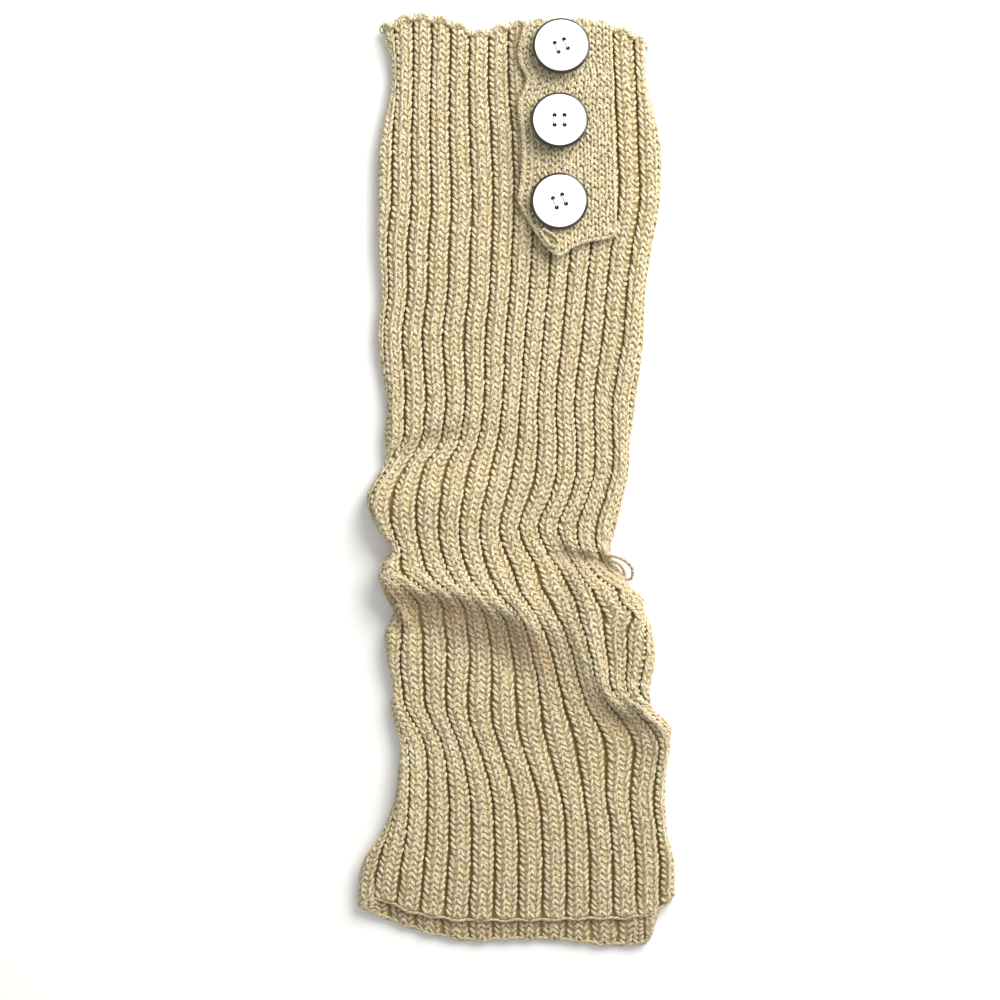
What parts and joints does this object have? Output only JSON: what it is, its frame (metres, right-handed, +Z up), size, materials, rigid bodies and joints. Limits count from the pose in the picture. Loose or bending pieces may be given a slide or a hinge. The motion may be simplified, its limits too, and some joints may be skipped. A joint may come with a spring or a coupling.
{
  "type": "rib-knit leg warmer",
  "caption": "Knee-length tube of chunky rib knit lying flat with rucked folds, and a knitted tab with sewn-on round buttons at its top edge.",
  "frame": {"origin": "on the table under the middle of the leg warmer's bounding box", "axes": "+Y along the leg to its top edge, +X across it, +Z up from the table"},
  "size_m": [0.1668, 0.4851, 0.0207],
  "materials": {
    "rib_knit_yarn": "thick beige acrylic yarn, knitted in ribs, matt and slightly fuzzy",
    "tab_yarn": "the same beige yarn, knitted finer",
    "button_plastic": "polished white"
  },
  "bodies": {
    "root": {"leg_tube": "rib_knit_yarn", "button_tab": "tab_yarn", "button_1": "button_plastic", "button_2": "button_plastic", "button_3": "button_plastic"}
  },
  "joints": []
}
